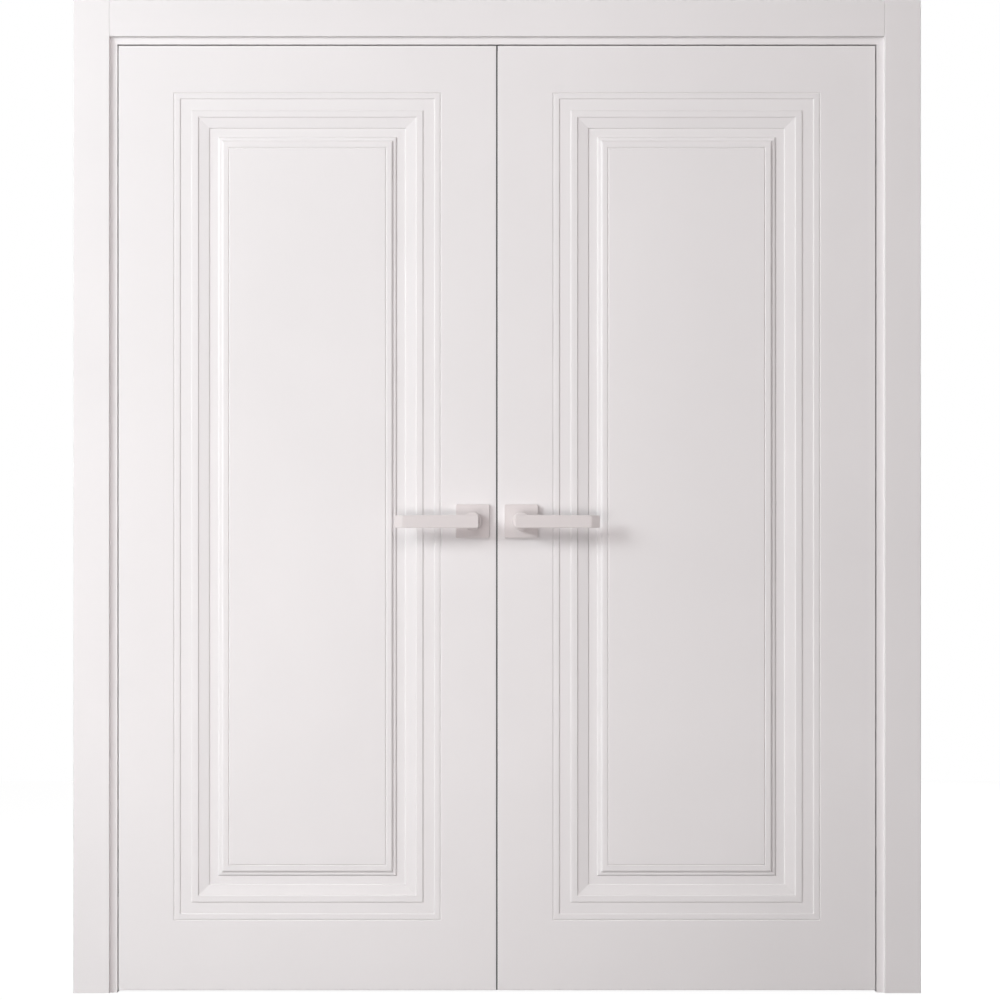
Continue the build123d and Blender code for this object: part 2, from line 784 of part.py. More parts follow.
# Handles: square roses over fixing plates, flat levers on round necks, one spindle through each leaf
rose_y = face_y - rose_depth
rose_plate_side = rose_side - 2 * (rose_wall + rose_plate_play)
rose_plate_depth = rose_depth - rose_wall - rose_plate_play
bar_front_y = face_y - handle_projection
bar_rear_y = bar_front_y + bar_thickness
bar_tip_top = bar_root_height / 2 - bar_taper_top
neck_rear_y = rose_y - soft_play
socket_end_y = face_y - socket_depth
grub_length = neck_radius - grub_sink - spindle_side / 2
grub_plane = facing_down(spindle_x, neck_rear_y - grub_setback, handle_height - spindle_side / 2)
rose_plane = facing_front(spindle_x, face_y, handle_height)
rose_bolt_places = [(-rose_bolt_offset, 0), (rose_bolt_offset, 0)]

with BuildPart() as right_front_rose:
    with BuildSketch(rose_plane):
        RectangleRounded(rose_side, rose_side, rose_corner_radius)
    extrude(amount=rose_depth)
    fillet(right_front_rose.faces().sort_by(Axis.Y)[0].edges(), rose_edge_radius)
    with BuildSketch(rose_plane):
        Rectangle(rose_side - 2 * rose_wall, rose_side - 2 * rose_wall)
    extrude(amount=rose_depth - rose_wall, mode=Mode.SUBTRACT)
    with BuildSketch(rose_plane):
        Circle(journal_radius + soft_play)
    extrude(amount=rose_depth, mode=Mode.SUBTRACT)

with BuildPart() as right_front_rose_plate:
    with BuildSketch(rose_plane):
        Rectangle(rose_plate_side, rose_plate_side)
        Circle(journal_radius + journal_play, mode=Mode.SUBTRACT)
        with Locations(*rose_bolt_places):
            Circle(rose_bolt_radius + rose_bolt_play, mode=Mode.SUBTRACT)
    extrude(amount=rose_plate_depth)
    with BuildSketch(rose_plane.offset(rose_plate_depth)):
        with Locations(*rose_bolt_places):
            Circle(rose_bolt_head_radius + rose_bolt_play)
    extrude(amount=-rose_bolt_head_depth, mode=Mode.SUBTRACT)

with BuildPart() as right_rose_plates:
    add(right_front_rose_plate.part)
    mirror(right_front_rose_plate.part, about=Plane.XZ)

with BuildPart() as right_rose_bolts:
    with BuildSketch(rose_plane):
        with Locations(*rose_bolt_places):
            Circle(rose_bolt_radius)
    extrude(amount=-leaf_thickness / 2)
    with BuildSketch(rose_plane):
        with Locations(*rose_bolt_places):
            Circle(rose_bolt_radius)
    extrude(amount=rose_plate_depth - rose_bolt_head_depth)
    with BuildSketch(rose_plane.offset(rose_plate_depth - rose_bolt_head_depth)):
        with Locations(*rose_bolt_places):
            Circle(rose_bolt_head_radius)
    extrude(amount=rose_bolt_head_depth)
    mirror(about=Plane.XZ)

with BuildPart() as lever_neck:
    with BuildSketch(facing_front(spindle_x, neck_rear_y, handle_height)):
        Circle(neck_radius)
    extrude(amount=neck_rear_y - bar_rear_y)
    fillet(lever_neck.faces().sort_by(Axis.Y)[0].edges(), neck_edge_radius)

with BuildPart() as right_front_lever:
    with BuildSketch(Plane.XY.offset(handle_height - bar_root_height / 2)):
        with BuildLine():
            Polyline(
                (spindle_x - bar_heel, bar_front_y),
                (spindle_x + bar_length - tip_length, bar_front_y),
                (spindle_x + bar_length, bar_front_y + tip_drop),
                (spindle_x + bar_length, bar_rear_y + tip_drop),
                (spindle_x + bar_length - tip_length, bar_rear_y),
                (spindle_x - bar_heel, bar_rear_y),
                close=True,
            )
        plan = make_face()
        bends = plan.vertices().sort_by(Axis.X)[2:4]
        fillet(bends, tip_bend_radius)
    extrude(amount=bar_root_height)
    with BuildSketch(facing_front(spindle_x, bar_front_y, handle_height)) as front_outline:
        with BuildLine():
            Polyline(
                (-bar_heel, -bar_root_height / 2), (bar_length, bar_tip_top - bar_tip_height),
                (bar_length, bar_tip_top), (-bar_heel, bar_root_height / 2), close=True,
            )
        make_face()
        fillet(front_outline.vertices().group_by(Axis.X)[0], bar_heel_radius)
        fillet(front_outline.vertices().group_by(Axis.X)[-1], bar_tip_radius)
    extrude(amount=-handle_projection, mode=Mode.INTERSECT)
    fillet(right_front_lever.edges(), bar_edge_radius)
    add(lever_neck.part)
    with BuildSketch(rose_plane):
        Circle(journal_radius)
    extrude(amount=face_y - neck_rear_y)
    with BuildSketch(rose_plane):
        Rectangle(spindle_side + 2 * spindle_play, spindle_side + 2 * spindle_play)
    extrude(amount=socket_depth, mode=Mode.SUBTRACT)
    with BuildSketch(grub_plane):
        Circle(grub_radius + grub_play)
    extrude(amount=neck_radius, mode=Mode.SUBTRACT)

# Socket-headed grub screws under the necks clamp the levers to their spindle
with BuildPart() as right_grub_screws:
    with BuildSketch(grub_plane):
        Circle(grub_radius)
    extrude(amount=grub_length)
    with BuildSketch(grub_plane.offset(grub_length)):
        RegularPolygon(grub_key_width / 2, 6, major_radius=False)
    extrude(amount=-grub_key_depth, mode=Mode.SUBTRACT)
    mirror(about=Plane.XZ)

with BuildPart() as right_spindle:
    with BuildSketch(facing_front(spindle_x, 0, handle_height)):
        Rectangle(spindle_side, spindle_side)
    extrude(amount=-socket_end_y, both=True)

handle_pieces = {
    "front_rose": right_front_rose.part,
    "rear_rose": mirrored(right_front_rose.part, Plane.XZ),
    "rose_plates": right_rose_plates.part,
    "rose_bolts": right_rose_bolts.part,
    "front_lever": right_front_lever.part,
    "rear_lever": mirrored(right_front_lever.part, Plane.XZ),
    "spindle": right_spindle.part,
    "grub_screws": right_grub_screws.part,
}
for name, piece in handle_pieces.items():
    save(f"right_{name}", piece)
    save(f"left_{name}", mirrored(piece, Plane.YZ))
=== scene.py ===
import json
import math

import bmesh
import bpy
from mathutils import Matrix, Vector


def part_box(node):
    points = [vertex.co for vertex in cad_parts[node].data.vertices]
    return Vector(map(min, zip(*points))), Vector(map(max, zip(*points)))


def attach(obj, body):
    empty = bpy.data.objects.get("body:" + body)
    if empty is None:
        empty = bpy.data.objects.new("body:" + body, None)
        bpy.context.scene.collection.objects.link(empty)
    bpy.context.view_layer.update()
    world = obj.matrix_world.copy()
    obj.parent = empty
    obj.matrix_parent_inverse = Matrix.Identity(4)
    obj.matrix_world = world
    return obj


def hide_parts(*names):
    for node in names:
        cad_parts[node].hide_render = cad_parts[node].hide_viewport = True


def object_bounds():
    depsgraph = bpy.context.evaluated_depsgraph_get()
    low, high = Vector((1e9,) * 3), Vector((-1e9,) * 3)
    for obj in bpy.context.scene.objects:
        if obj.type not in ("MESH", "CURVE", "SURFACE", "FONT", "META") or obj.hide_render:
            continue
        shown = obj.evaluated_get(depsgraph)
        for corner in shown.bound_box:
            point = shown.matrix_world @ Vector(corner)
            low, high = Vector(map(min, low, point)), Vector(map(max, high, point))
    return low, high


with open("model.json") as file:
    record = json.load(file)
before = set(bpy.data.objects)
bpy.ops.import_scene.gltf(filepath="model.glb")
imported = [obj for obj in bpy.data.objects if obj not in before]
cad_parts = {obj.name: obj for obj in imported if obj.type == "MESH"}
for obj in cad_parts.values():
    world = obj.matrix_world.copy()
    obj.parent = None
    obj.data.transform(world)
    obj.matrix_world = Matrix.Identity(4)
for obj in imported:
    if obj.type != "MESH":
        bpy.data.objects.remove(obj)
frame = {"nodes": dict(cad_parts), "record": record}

CAD_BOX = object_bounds()
MM = 0.001

# Noise seldom leaves this part of its range
NOISE_LOW, NOISE_HIGH = 0.3, 0.7
# How strongly orange peel and grain tilt the light
PEEL_STRENGTH, GRAIN_STRENGTH = 0.5, 0.4
# Dry and smooth spots across one patch of the enamel
SPOTS_PER_PATCH = 5
# Rays that round off one point of an enamelled edge
EDGE_SAMPLES = 4
# Sides of a screw's head and shank, and the angle from which an edge stays sharp
HEAD_SIDES, SHANK_SIDES, SHARP_ANGLE = 48, 32, math.radians(30)
# An upright screw is at least this many times taller than wide
SCREW_SLENDERNESS = 1.5
# Corners of a CAD screw that are closer than this are one corner
SAME_CORNER = 0.001 * MM
# Half the floor's width in metres
FLOOR_REACH = 6
# Share and strength of the white that the camera sees on the floor
GLOW_SHARE, GLOW_STRENGTH = 0.65, 1.45
# Upward part of a direction at which the mirrored ceiling is brightest
CEILING_RISE = 0.8
# Width of the camera's sensor in millimetres
SENSOR_WIDTH = 36

bl_info = {
    "name": "Panelled double door",
    "version": (1, 0, 0),
    "blender": (4, 5, 0),
    "location": "View3D > Sidebar > Door",
    "description": "Finishes a cased double door: enamel, lacquer, hinge metal, screws, light and camera",
    "category": "Object",
}


def linear(hex_colour):
    """An sRGB hex colour as linear red, green and blue."""
    channels = [int(hex_colour[i:i + 2], 16) / 255 for i in (0, 2, 4)]
    return [c / 12.92 if c <= 0.04045 else ((c + 0.055) / 1.055) ** 2.4 for c in channels]


def colour_property(label, words, hex_colour):
    """A colour that a user may change."""
    return bpy.props.FloatVectorProperty(
        name=label, description=words, subtype="COLOR", size=3, min=0, max=1, default=linear(hex_colour)
    )


def length_property(label, words, default):
    """A length in metres that a user may change."""
    return bpy.props.FloatProperty(name=label, description=words, default=default, min=0, unit="LENGTH")


def factor_property(label, words, default):
    """A share between nothing and all that a user may change."""
    return bpy.props.FloatProperty(
        name=label, description=words, default=default, min=0, max=1, subtype="FACTOR"
    )


def power_property(label, words, default):
    """A lamp's power in watts that a user may change."""
    return bpy.props.FloatProperty(name=label, description=words, default=default, min=0, unit="POWER")


class EnamelSettings(bpy.types.PropertyGroup):
    """The sprayed white finish of leaves, frame and casings."""
    colour: colour_property("Colour", "Main colour of the sprayed enamel", "F0EEEF")
    shade: colour_property("Shade", "Colour of the slightly thinner patches", "EDEBEC")
    patch_size: length_property("Patch size", "Width of the faint patches in the coat", 350 * MM)
    peel_size: length_property("Peel size", "Width of one ripple of the orange peel", 2.5 * MM)
    peel_depth: length_property("Peel depth", "Height of the orange peel", 0.012 * MM)
    edge_radius: length_property("Edge radius", "How far the coat rounds off an edge", 0.7 * MM)
    roughness_low: factor_property("Lowest roughness", "Roughness where the coat lies smoothest", 0.40)
    roughness_high: factor_property("Highest roughness", "Roughness where the coat lies driest", 0.48)


class HardwareSettings(bpy.types.PropertyGroup):
    """Colours of the handles, hinges, latch, bolts and seals."""
    lacquer: colour_property("Handle lacquer", "Matt lacquer on levers and roses", "E0DADA")
    plated: colour_property("Plated steel", "Zinc plate on the latch, strike, bolts and screws", "C4C7CB")
    alloy: colour_property("Hinge alloy", "Die-cast hinge cups", "BDBEC0")
    ground: colour_property("Ground steel", "Crescent links of the hinges", "A8AAAD")
    seal: colour_property("Seal", "Rubber of the seals", "2C2C2E")
    box: colour_property("Strike box", "Moulded box behind the strike plate", "1C1C1D")
    magnet: colour_property("Magnet", "Sintered magnet in the strike box", "3A3837")


class ScrewSettings(bpy.types.PropertyGroup):
    """Drive recess of the countersunk screws."""
    recess_width: length_property("Recess width", "Width of one wing of the cross recess", 1.1 * MM)
    recess_span: length_property("Recess span", "Length of the cross recess from tip to tip", 4.4 * MM)
    recess_depth: length_property("Recess depth", "Depth of the cross recess", 1.5 * MM)
    turn_seed: bpy.props.IntProperty(
        name="Turn seed", description="Seed of the angle at which each screw came to rest", default=7, min=0
    )


class StageSettings(bpy.types.PropertyGroup):
    """Floor, light and camera."""
    floor_colour: colour_property("Floor", "Plain floor, grey to bounce little light", "808080")
    key_power: power_property("Key light", "Power of the softbox high on the left", 146)
    fill_power: power_property("Fill light", "Power of the softbox high in front", 50)
    low_power: power_property("Low light", "Power of the softbox near the floor", 29)
    rear_power: power_property("Rear light", "Power of the softbox behind the doors", 280)
    ambient: bpy.props.FloatProperty(
        name="Ambient", description="Strength of the even light from all round", default=0.127, min=0
    )
    cool_white: colour_property("Cool white", "Colour of the key and rear lights", "FAFFFF")
    warm_white: colour_property("Warm white", "Colour of the fill, low and ambient light", "FFF7F6")
    mirrored_walls: bpy.props.FloatProperty(
        name="Mirrored walls", description="Strength of the white walls as metal mirrors them",
        default=0.3, min=0,
    )
    mirrored_ceiling: bpy.props.FloatProperty(
        name="Mirrored ceiling", description="Strength of the ceiling as metal mirrors it",
        default=1.0, min=0,
    )
    camera_distance: length_property("Camera distance", "From the leaves' front faces", 8.0)
    view_width: length_property("View width", "Width of the picture at the leaves' front faces", 2.1175)
    view_x: bpy.props.FloatProperty(
        name="View X", description="Sideways place that the camera faces", default=0.0064, unit="LENGTH"
    )
    view_z: bpy.props.FloatProperty(
        name="View Z", description="Height that the camera faces", default=1.043, unit="LENGTH"
    )


# Where each softbox hangs, its width and its height, in metres
SOFTBOXES = {
    "key": ((-3.9, -2.9, 2.7), 2.2, 1.8),
    "fill": ((0.0, -4.0, 3.6), 3.0, 1.6),
    "low": ((-0.7, -3.0, 0.45), 2.4, 0.8),
    "rear": ((3.2, 4.6, 2.2), 2.0, 2.0),
}
# The other softboxes are cool white
WARM_SOFTBOXES = ("fill", "low")

SLOT_OF_NODE = {row["node"]: row["material_slot"] for row in frame["record"]["subparts"]}
BODY_OF_NODE = {
    node: body for body, nodes in frame["record"]["behaviour"]["bodies"].items() for node in nodes
}

SCREW_NODES = [name for name in SLOT_OF_NODE if name.endswith("_screws") and "grub" not in name]
SCREW_SIZES = ("Head radius", "Head depth", "Shank radius", "Recess width", "Recess span", "Recess depth")


def nodes_in_slot(slot):
    """The CAD nodes that take one of the record's finishes."""
    return [frame["nodes"][node] for node, name in SLOT_OF_NODE.items() if name == slot]


def add_node(tree, kind, settings=None, links=None):
    """Add a node, set its attributes and sockets, and link its inputs."""
    node = tree.nodes.new(kind)
    for name, value in (settings or {}).items():
        if isinstance(name, str) and hasattr(node, name):
            setattr(node, name, value)
        else:
            node.inputs[name].default_value = value
    for name, source in (links or {}).items():
        tree.links.new(source, node.inputs[name])
    return node


def new_material(name, shader_settings):
    """A material with one Principled shader, its tree, the shader and the piece's own coordinates."""
    material = bpy.data.materials.new(name)
    material.use_nodes = True
    tree = material.node_tree
    tree.nodes.clear()
    shader = add_node(tree, "ShaderNodeBsdfPrincipled", shader_settings)
    add_node(tree, "ShaderNodeOutputMaterial", links={"Surface": shader.outputs["BSDF"]})
    coords = add_node(tree, "ShaderNodeTexCoord").outputs["Object"]
    return material, tree, shader, coords


def blotches(tree, coords, size, low, high, detail=2.0):
    """Noise about size across, as it is and stretched to run from low to high."""
    pattern = add_node(
        tree, "ShaderNodeTexNoise", {"Scale": 1 / size, "Detail": detail}, {"Vector": coords}
    ).outputs["Fac"]
    stretched = add_node(
        tree, "ShaderNodeMapRange",
        {"From Min": NOISE_LOW, "From Max": NOISE_HIGH, "To Min": low, "To Max": high},
        {"Value": pattern},
    )
    return pattern, stretched.outputs["Result"]


def sprayed_enamel(name, settings):
    """Satin enamel sprayed on MDF: even white with a soft sheen, faint orange peel and rounded arrises."""
    material, tree, shader, coords = new_material(name, {"IOR": 1.5})
    _, patches = blotches(tree, coords, settings.patch_size, 0, 1)
    coat = add_node(
        tree, "ShaderNodeMix",
        {"data_type": "RGBA", 6: (*settings.colour, 1), 7: (*settings.shade, 1)},
        {"Factor": patches},
    )
    tree.links.new(coat.outputs[2], shader.inputs["Base Color"])
    spot_size = settings.patch_size / SPOTS_PER_PATCH
    _, dryness = blotches(tree, coords, spot_size, settings.roughness_low, settings.roughness_high)
    tree.links.new(dryness, shader.inputs["Roughness"])
    rounded = add_node(
        tree, "ShaderNodeBevel", {"samples": EDGE_SAMPLES, "Radius": settings.edge_radius}
    )
    ripples = add_node(
        tree, "ShaderNodeTexNoise", {"Scale": 1 / settings.peel_size, "Detail": 2.0}, {"Vector": coords}
    )
    peel = add_node(
        tree, "ShaderNodeBump", {"Strength": PEEL_STRENGTH, "Distance": settings.peel_depth},
        {"Height": ripples.outputs["Fac"], "Normal": rounded.outputs["Normal"]},
    )
    tree.links.new(peel.outputs["Normal"], shader.inputs["Normal"])
    return material


# The real grains are too fine to show, so each is drawn a few times coarser
def grained(name, colour, shader_settings, grain_size, grain_depth, roughness, stretch=(1, 1, 1)):
    """A finish with a fine grain that shows in its bump and in its gloss."""
    material, tree, shader, coords = new_material(name, {"Base Color": (*colour, 1), **shader_settings})
    turned = add_node(tree, "ShaderNodeMapping", {"Scale": stretch}, {"Vector": coords}).outputs["Vector"]
    grain, gloss = blotches(tree, turned, grain_size, *roughness, detail=3.0)
    tree.links.new(gloss, shader.inputs["Roughness"])
    bump = add_node(
        tree, "ShaderNodeBump", {"Strength": GRAIN_STRENGTH, "Distance": grain_depth}, {"Height": grain}
    )
    tree.links.new(bump.outputs["Normal"], shader.inputs["Normal"])
    return material


def matt_lacquer(colour):
    """Matt lacquer on cast alloy: a soft warm grey with hardly any shine and a fine powdery grain."""
    return grained("matt_lacquer_on_alloy", colour, {"IOR": 1.5}, 0.8 * MM, 0.01 * MM, (0.48, 0.56))


def zinc_plate(colour):
    """Zinc-plated steel, brushed upright: cool grey with a streaky, medium gloss."""
    return grained(
        "brushed_zinc_plated_steel", colour, {"Metallic": 1.0},
        1.2 * MM, 0.008 * MM, (0.26, 0.42), (1, 1, 0.06),
    )


def screw_zinc(colour):
    """Bright zinc on screws: a light grey, smoother and glossier than the plates."""
    return grained("bright_zinc_on_screws", colour, {"Metallic": 1.0}, 0.4 * MM, 0.004 * MM, (0.2, 0.3))


def die_cast_alloy(colour):
    """Satin die-cast zinc alloy: an even dull silver with a shallow casting grain."""
    return grained("satin_die_cast_alloy", colour, {"Metallic": 1.0}, 1.0 * MM, 0.02 * MM, (0.34, 0.44))


def ground_steel(colour):
    """Surface-ground steel: darker than the cups, with fine level grinding lines."""
    return grained(
        "ground_steel", colour, {"Metallic": 1.0}, 0.6 * MM, 0.006 * MM, (0.22, 0.36), (0.1, 0.1, 1)
    )


def seal_rubber(colour):
    """Extruded rubber: charcoal, quite matt, with faint lines along its length."""
    return grained(
        "extruded_seal_rubber", colour, {"IOR": 1.52}, 0.9 * MM, 0.02 * MM, (0.68, 0.8), (1, 1, 0.1)
    )


def moulded_abs(colour):
    """Moulded ABS with an eroded mould grain: near black and half matt."""
    return grained("moulded_abs", colour, {"IOR": 1.54}, 0.7 * MM, 0.02 * MM, (0.45, 0.58))


def sintered_ferrite(colour):
    """Sintered ferrite: a dark grey, dusty stone-like block."""
    return grained("sintered_ferrite", colour, {"IOR": 1.6}, 0.5 * MM, 0.03 * MM, (0.6, 0.75))


def pale_floor(colour):
    """Matt floor that looks white, overexposed as on a light table, with a trace of contact shadow left."""
    material = grained("pale_floor", colour, {"IOR": 1.45}, 4 * MM, 0.02 * MM, (0.7, 0.8))
    tree = material.node_tree
    output = next(node for node in tree.nodes if node.type == "OUTPUT_MATERIAL")
    shaded = output.inputs["Surface"].links[0].from_socket
    seen = add_node(tree, "ShaderNodeLightPath").outputs["Is Camera Ray"]
    share = add_node(tree, "ShaderNodeMapRange", {"To Max": GLOW_SHARE}, {"Value": seen}).outputs["Result"]
    glow = add_node(tree, "ShaderNodeEmission", {"Strength": GLOW_STRENGTH}).outputs["Emission"]
    mix = add_node(tree, "ShaderNodeMixShader", links={0: share, 1: shaded, 2: glow})
    tree.links.new(mix.outputs["Shader"], output.inputs["Surface"])
    return material


def paint(pieces, material):
    """Give pieces one material in place of any they had."""
    for piece in pieces:
        piece.data.materials.clear()
        piece.data.materials.append(material)


class DOOR_OT_enamel(bpy.types.Operator):
    """Spray the leaves, frame and casings white"""
    bl_idname = "door.enamel"
    bl_label = "Enamel leaves and frame"

    def execute(self, context):
        settings = context.scene.door_enamel
        paint(nodes_in_slot("enamelled_mdf"), sprayed_enamel("satin_enamel_on_leaves", settings))
        paint(nodes_in_slot("enamelled_frame"), sprayed_enamel("satin_enamel_on_frame", settings))
        return {"FINISHED"}


class DOOR_OT_handles(bpy.types.Operator):
    """Lacquer the levers and roses"""
    bl_idname = "door.handles"
    bl_label = "Lacquer handles"

    def execute(self, context):
        paint(nodes_in_slot("lacquered_alloy"), matt_lacquer(context.scene.door_hardware.lacquer))
        return {"FINISHED"}


class DOOR_OT_hinges(bpy.types.Operator):
    """Finish the hinge cups and their crescent links"""
    bl_idname = "door.hinges"
    bl_label = "Finish hinges"

    def execute(self, context):
        settings = context.scene.door_hardware
        paint(nodes_in_slot("hinge_alloy"), die_cast_alloy(settings.alloy))
        paint(nodes_in_slot("link_steel"), ground_steel(settings.ground))
        return {"FINISHED"}


class DOOR_OT_latch(bpy.types.Operator):
    """Finish the latch, strike, bolts and the steel inside the handles"""
    bl_idname = "door.latch"
    bl_label = "Finish latch and bolts"

    def execute(self, context):
        settings = context.scene.door_hardware
        paint(nodes_in_slot("zinc_plated_steel"), zinc_plate(settings.plated))
        paint(nodes_in_slot("black_plastic"), moulded_abs(settings.box))
        paint(nodes_in_slot("magnet"), sintered_ferrite(settings.magnet))
        return {"FINISHED"}


class DOOR_OT_seals(bpy.types.Operator):
    """Finish the rubber seals"""
    bl_idname = "door.seals"
    bl_label = "Finish seals"

    def execute(self, context):
        paint(nodes_in_slot("rubber_seal"), seal_rubber(context.scene.door_hardware.seal))
        return {"FINISHED"}


def screw_seats(nodes):
    """The seat of each screw in the CAD nodes."""
    seats = []
    for node in nodes:
        shape = bmesh.new()
        shape.from_mesh(node.data)
        bmesh.ops.remove_doubles(shape, verts=shape.verts, dist=SAME_CORNER)
        left = set(shape.verts)
        while left:
            island = set()
            front = {left.pop()}
            while front:
                island |= front
                front = {edge.other_vert(v) for v in front for edge in v.link_edges} - island
            left -= island
            seats.append(screw_seat([v.co.copy() for v in island]))
        shape.free()
    # A fixed order gives each screw the same turn in every run
    return sorted(seats, key=lambda seat: [round(c, 5) for c in seat["head"]])


def screw_seat(points):
    """One screw's head centre, inward direction, length, and its radius at each distance from the head."""
    spans = [max(p[i] for p in points) - min(p[i] for p in points) for i in range(3)]
    axis = 2 if spans[2] > SCREW_SLENDERNESS * spans[0] else 0
    middle = Vector([(max(p[i] for p in points) + min(p[i] for p in points)) / 2 for i in range(3)])
    along = Vector([float(i == axis) for i in range(3)])
    rings = {}
    for point in points:
        offset = point - middle
        reach = round(offset.dot(along), 6)
        radius = (offset - along * offset.dot(along)).length
        rings[reach] = max(radius, rings.get(reach, 0))
    if rings[max(rings)] > rings[min(rings)]:
        along = -along
        rings = {-reach: radius for reach, radius in rings.items()}
    head = middle + along * min(rings)
    return {
        "head": head,
        "inwards": along,
        "length": max(rings) - min(rings),
        "rings": sorted((reach - min(rings), radius) for reach, radius in rings.items()),
    }


def screw_tree():
    """Geometry nodes that set a countersunk screw with a cross recess on each point."""
    tree = bpy.data.node_groups.new("countersunk_screws", "GeometryNodeTree")
    kinds = {"Seats": "Geometry", **dict.fromkeys(SCREW_SIZES, "Float")}
    kinds.update({"Turn seed": "Int", "Finish": "Material"})
    for label, kind in kinds.items():
        tree.interface.new_socket(label, in_out="INPUT", socket_type=f"NodeSocket{kind}")
    tree.interface.new_socket("Screws", in_out="OUTPUT", socket_type="NodeSocketGeometry")
    given = add_node(tree, "NodeGroupInput").outputs

    # The head is a cone, and two crossed blocks are cut out of its flat end
    cone = add_node(
        tree, "GeometryNodeMeshCone", {"Vertices": HEAD_SIDES},
        {
            "Radius Bottom": given["Head radius"],
            "Radius Top": given["Shank radius"],
            "Depth": given["Head depth"],
        },
    )
    recessed = add_node(
        tree, "GeometryNodeMeshBoolean", {"operation": "DIFFERENCE", "solver": "EXACT"},
        {0: cone.outputs["Mesh"]},
    )
    block_height = add_node(
        tree, "ShaderNodeMath", {"operation": "MULTIPLY", 1: 2.0}, {0: given["Recess depth"]}
    )
    for across, along in (("Recess width", "Recess span"), ("Recess span", "Recess width")):
        size = add_node(
            tree, "ShaderNodeCombineXYZ",
            links={"X": given[across], "Y": given[along], "Z": block_height.outputs["Value"]},
        )
        block = add_node(tree, "GeometryNodeMeshCube", links={"Size": size.outputs["Vector"]})
        tree.links.new(block.outputs["Mesh"], recessed.inputs[1])

    # The shank starts at the origin, one metre long, and is scaled to each screw
    shank = add_node(
        tree, "GeometryNodeMeshCylinder", {"Vertices": SHANK_SIDES, "Depth": 1.0},
        {"Radius": given["Shank radius"]},
    )
    upright = add_node(
        tree, "GeometryNodeTransform", {"Translation": (0, 0, 0.5)}, {"Geometry": shank.outputs["Mesh"]}
    )

    stored = {}
    for name, kind in {"inwards": "FLOAT_VECTOR", "length": "FLOAT"}.items():
        node = add_node(tree, "GeometryNodeInputNamedAttribute", {"data_type": kind, "Name": name})
        stored[name] = next(out for out in node.outputs if out.enabled and out.name == "Attribute")

    # Each head comes to rest at its own angle
    aimed = add_node(
        tree, "FunctionNodeAlignRotationToVector", {"axis": "Z"}, {"Vector": stored["inwards"]}
    )
    angle = add_node(
        tree, "FunctionNodeRandomValue", {"data_type": "FLOAT"}, {"Seed": given["Turn seed"]}
    )
    limits = {socket.name: socket for socket in angle.inputs if socket.enabled}
    limits["Max"].default_value = math.tau
    value = next(socket for socket in angle.outputs if socket.enabled)
    turn = add_node(tree, "FunctionNodeAxisAngleToRotation", {"Axis": (0, 0, 1)}, {"Angle": value})
    turned = add_node(
        tree, "FunctionNodeRotateRotation", {"rotation_space": "LOCAL"},
        {"Rotation": aimed.outputs["Rotation"], "Rotate By": turn.outputs["Rotation"]},
    )
    heads = add_node(
        tree, "GeometryNodeInstanceOnPoints",
        links={
            "Points": given["Seats"],
            "Instance": recessed.outputs["Mesh"],
            "Rotation": turned.outputs["Rotation"],
        },
    )

    # Each shank takes up what its head leaves of the screw's length
    step = add_node(
        tree, "ShaderNodeVectorMath", {"operation": "SCALE"},
        {0: stored["inwards"], "Scale": given["Head depth"]},
    )
    below = add_node(
        tree, "GeometryNodeSetPosition",
        links={"Geometry": given["Seats"], "Offset": step.outputs["Vector"]},
    )
    remainder = add_node(
        tree, "ShaderNodeMath", {"operation": "SUBTRACT"}, {0: stored["length"], 1: given["Head depth"]}
    )
    stretch = add_node(
        tree, "ShaderNodeCombineXYZ", {"X": 1.0, "Y": 1.0}, {"Z": remainder.outputs["Value"]}
    )
    shanks = add_node(
        tree, "GeometryNodeInstanceOnPoints",
        links={
            "Points": below.outputs["Geometry"],
            "Instance": upright.outputs["Geometry"],
            "Rotation": aimed.outputs["Rotation"],
            "Scale": stretch.outputs["Vector"],
        },
    )

    joined = add_node(tree, "GeometryNodeJoinGeometry", links={0: heads.outputs["Instances"]})
    tree.links.new(shanks.outputs["Instances"], joined.inputs[0])
    real = add_node(tree, "GeometryNodeRealizeInstances", links={"Geometry": joined.outputs["Geometry"]})
    finished = add_node(
        tree, "GeometryNodeSetMaterial",
        links={"Geometry": real.outputs["Geometry"], "Material": given["Finish"]},
    )
    add_node(tree, "NodeGroupOutput", links={"Screws": finished.outputs["Geometry"]})
    return tree


